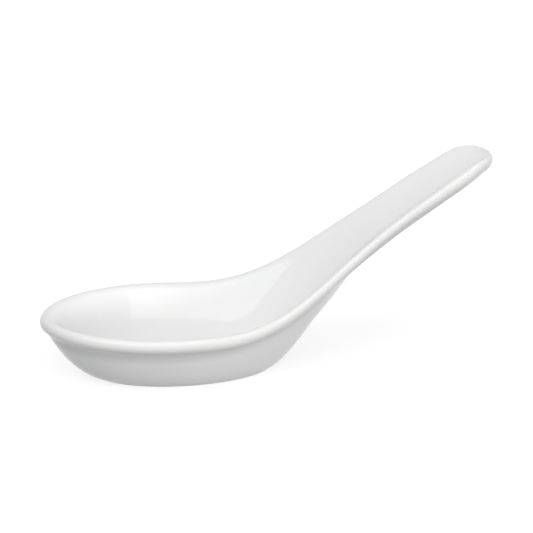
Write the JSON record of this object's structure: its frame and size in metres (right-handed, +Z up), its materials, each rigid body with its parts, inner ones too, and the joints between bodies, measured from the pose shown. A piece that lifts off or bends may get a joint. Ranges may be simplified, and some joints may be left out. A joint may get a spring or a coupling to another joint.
{
  "type": "chinese soup spoon",
  "caption": "White porcelain soup spoon with a deep oval bowl, rolled rim, flat foot and a short rising handle with a shallow channel.",
  "frame": {"origin": "on the plane of the foot, half way across the spoon, under the widest place of the bowl", "axes": "+X from the bowl's tip towards the handle's end, +Y across the spoon, +Z up from the table"},
  "size_m": [0.13, 0.0484, 0.0588],
  "materials": {
    "porcelain": "matt unglazed porcelain, bare only on the foot",
    "glaze": "glossy white glaze"
  },
  "bodies": {
    "root": {"porcelain_body": "porcelain", "glaze_coat": "glaze"}
  },
  "joints": []
}
